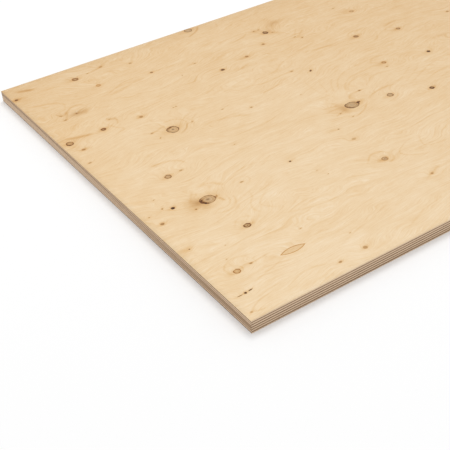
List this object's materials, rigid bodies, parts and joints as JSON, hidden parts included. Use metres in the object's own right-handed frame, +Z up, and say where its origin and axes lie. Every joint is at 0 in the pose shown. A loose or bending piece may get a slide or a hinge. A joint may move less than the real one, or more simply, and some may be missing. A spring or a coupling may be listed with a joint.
{
  "type": "plywood sheet",
  "caption": "Flat birch plywood sheet of cross-laid veneers with sawn edges, a sanded knotty face and a boat-shaped repair patch let into the face veneer.",
  "frame": {"origin": "middle of the sheet's underside", "axes": "+X along the length and the grain of the face, +Y across the width, +Z up out of the face"},
  "size_m": [1.2, 0.6, 0.015],
  "materials": {
    "face_wood": "sanded",
    "patch_wood": "sanded",
    "cross_wood": "sawn",
    "core_wood": "sawn",
    "back_wood": "sanded"
  },
  "bodies": {
    "root": {"face_veneer": "face_wood", "face_patch": "patch_wood", "cross_veneer_1": "cross_wood", "core_veneer_1": "core_wood", "cross_veneer_2": "cross_wood", "core_veneer_2": "core_wood", "cross_veneer_3": "cross_wood", "core_veneer_3": "core_wood", "cross_veneer_4": "cross_wood", "core_veneer_4": "core_wood", "cross_veneer_5": "cross_wood", "back_veneer": "back_wood"}
  },
  "joints": []
}
